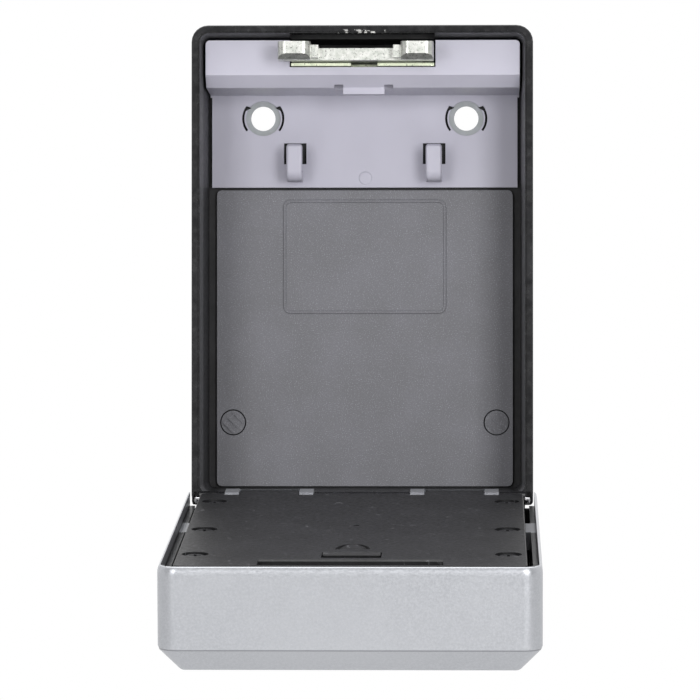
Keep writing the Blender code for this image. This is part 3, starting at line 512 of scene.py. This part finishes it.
def digit_mesh(digit):
    """One numeral as a thin closed body, sliced across so that it can follow the wheel."""
    text = bpy.data.curves.new("numeral", "FONT")
    text.body = str(digit)
    text.size = NUMERAL_SIZE
    text.align_x = "CENTER"
    text.align_y = "CENTER"
    text.extrude = NUMERAL_HALF_THICKNESS
    text.resolution_u = 4
    item = bpy.data.objects.new("numeral", text)
    PIECES.objects.link(item)
    mesh = bpy.data.meshes.new_from_object(item.evaluated_get(bpy.context.evaluated_depsgraph_get()))
    bpy.data.objects.remove(item)
    bm = bmesh.new()
    bm.from_mesh(mesh)
    bmesh.ops.remove_doubles(bm, verts=bm.verts, dist=1e-6)
    for row in range(-SLICES_EACH_WAY, SLICES_EACH_WAY + 1):
        bmesh.ops.bisect_plane(bm, geom=bm.verts[:] + bm.edges[:] + bm.faces[:],
                               plane_co=(0, SLICE_HEIGHT * row, 0), plane_no=(0, 1, 0))
    bm.to_mesh(mesh)
    bm.free()
    return mesh


def dial_digits(number):
    """Ten enamelled numerals, one on each crest of a wheel."""
    centre = DIAL_PLACE + Vector(((number - (DIAL_COUNT + 1) / 2) * DIAL_PITCH, 0, 0))
    bm = bmesh.new()
    for digit in range(DIGITS):
        mesh = digit_mesh(digit)
        for vertex in mesh.vertices:
            across, up, out = vertex.co
            lean = up / DIAL_RADIUS
            fall = CREST_FALL * min(abs(lean) / CREST_HALF_ANGLE, 2.0)
            radius = (DIAL_RADIUS - fall) + out - NUMERAL_SINK
            angle = lean + math.tau * digit / DIGITS
            vertex.co = centre + Vector((across, -radius * math.cos(angle), radius * math.sin(angle)))
        bm.from_mesh(mesh)
    mesh = bpy.data.meshes.new(f"dial_{number}_digits")
    bm.to_mesh(mesh)
    bm.free()
    item = bpy.data.objects.new(f"dial_{number}_digits", mesh)
    item.matrix_world = DOOR_FRAME
    own(item, f"dial_{number}", DIGIT)


def ejector_mark():
    """Low round witness mark of the mould on the panel."""
    profile = ((0.0, 0.16), (0.9, 0.14), (1.7, 0.09), (2.05, 0.0), (2.1, -0.3), (0.0, -0.3))
    bm = bmesh.new()
    points = [bm.verts.new((radius * MM, 0, height * MM)) for radius, height in profile]
    edges = [bm.edges.new(pair) for pair in zip(points, points[1:])]
    bmesh.ops.spin(bm, geom=points + edges, cent=(0, 0, 0), axis=(0, 0, 1), angle=math.tau, steps=40)
    bmesh.ops.remove_doubles(bm, verts=bm.verts, dist=1e-6)
    bmesh.ops.recalc_face_normals(bm, faces=bm.faces)
    mesh = bpy.data.meshes.new("panel_ejector_mark")
    bm.to_mesh(mesh)
    bm.free()
    mesh.shade_smooth()
    item = bpy.data.objects.new("panel_ejector_mark", mesh)
    item.matrix_world = Matrix.Translation(EJECTOR_MARK) @ Matrix.Rotation(math.radians(90), 4, "X")
    own(item, "housing", LOOKS["panel_grey"])


# Edge radius of each node in millimetres
EDGE_RADIUS = {
    "rear_housing": 0.22, "hook_panel": 0.22, "back_plate": 0.12, "knockout_plug_left": 0.03,
    "knockout_plug_right": 0.03, "strike": 0.3, "strike_bracket": 0.12, "hinge_pin": 0.2,
    "door_shell": 0.2, "door_cover_plate": 0.15, "front_bezel": 0.2, "shutter": 0.25,
    "release_slider": 0.2, "code_change_slider": 0.15, "lock_frame": 0.15, "lock_bolt": 0.2,
    "dial_axle": 0.2, "axle_clip_left": 0.1, "axle_clip_right": 0.1,
}
for number in range(1, DIAL_COUNT + 1):
    EDGE_RADIUS[f"dial_{number}"] = 0.2

for name, node in NODES.items():
    node.data.materials.clear()
    node.data.materials.append(look_of(name).material)
finished = {name: softened(name, radius) for name, radius in EDGE_RADIUS.items()}
round_more(finished["hook_panel"], is_hook_edge, HOOK_ROUND_MM)
roll_lip(finished["door_shell"], LIP_INSET_MM, LIP_DEPTH_MM)
for name in NODES:
    if name.startswith("cover_screw"):
        crossed_screw(name)
for number in range(1, DIAL_COUNT + 1):
    dial_digits(number)
ejector_mark()


# ---------------------------------------------------------------- stage, light and camera
def make_stage():
    mesh = bpy.data.meshes.new("floor")
    size, level = 4.0, CAD_BOX[0][2] - 0.35
    mesh.from_pydata([(-size, -size, level), (size, -size, level), (size, size, level), (-size, size, level)],
                     [], [(0, 1, 2, 3)])
    floor = bpy.data.objects.new("floor", mesh)
    bpy.context.scene.collection.objects.link(floor)
    look = Look("floor_paper", 0.8)
    look.colour(look.blend(look.span(look.noise(400.0), 0.3, 0.7), (0.60, 0.60, 0.60), (0.64, 0.64, 0.64)))
    mesh.materials.append(look.material)


def area_light(name, place, aim, size, power):
    light = bpy.data.lights.new(name, "AREA")
    light.shape = "RECTANGLE"
    light.size, light.size_y = size
    light.energy = power
    item = bpy.data.objects.new(name, light)
    item.location = place
    item.rotation_euler = (Vector(aim) - Vector(place)).to_track_quat("-Z", "Y").to_euler()
    bpy.context.scene.collection.objects.link(item)


def smooth_range(tree, source, low, high, out_low, out_high):
    """Ease low..high of a world node's output into out_low..out_high."""
    item = tree.nodes.new("ShaderNodeMapRange")
    item.interpolation_type = "SMOOTHSTEP"
    item.inputs["From Min"].default_value = low
    item.inputs["From Max"].default_value = high
    item.inputs["To Min"].default_value = out_low
    item.inputs["To Max"].default_value = out_high
    tree.links.new(source, item.inputs["Value"])
    return item.outputs["Result"]


def make_light():
    """White tent all round, dimmer in front where the camera stands."""
    world = bpy.data.worlds.new("studio")
    bpy.context.scene.world = world
    world.use_nodes = True
    tree = world.node_tree
    background = tree.nodes["Background"]
    direction = tree.nodes.new("ShaderNodeTexCoord").outputs["Generated"]
    split = tree.nodes.new("ShaderNodeSeparateXYZ")
    tree.links.new(direction, split.inputs["Vector"])
    front = smooth_range(tree, split.outputs["Y"], -0.6, 0.1, 0.38, 1.0)
    ceiling = smooth_range(tree, split.outputs["Z"], 0.6, 0.95, 0.0, 1.5)
    total = tree.nodes.new("ShaderNodeMath")
    tree.links.new(front, total.inputs[0])
    tree.links.new(ceiling, total.inputs[1])
    background.inputs["Color"].default_value = (1.0, 1.0, 1.0, 1.0)
    tree.links.new(total.outputs["Value"], background.inputs["Strength"])
    area_light("top_box", (0.0, -0.30, 0.85), (0, -0.12, -0.05), (0.6, 0.3), 1.2)
    area_light("left_box", (-0.43, -1.15, 0.12), (0, -0.03, 0.0), (0.3, 0.45), 3.1)
    area_light("right_box", (0.43, -1.15, 0.12), (0, -0.03, 0.0), (0.3, 0.45), 5.6)


# Turned a little to the left and tipped a little up
CAMERA_YAW = math.radians(1.5501)
CAMERA_PITCH = math.radians(0.2982)


def make_camera():
    camera = bpy.data.cameras.new("camera")
    camera.lens = 247.0
    camera.sensor_width = 36.0
    camera.clip_end = 20.0
    item = bpy.data.objects.new("camera", camera)
    item.location = (0.0354, RIM - 1.443, UNDERSIDE + 0.0391)
    item.rotation_euler = (math.radians(90) + CAMERA_PITCH, 0, CAMERA_YAW)
    bpy.context.scene.collection.objects.link(item)
    bpy.context.scene.camera = item
    bpy.context.scene.view_settings.view_transform = "Standard"


make_stage()
make_light()
make_camera()
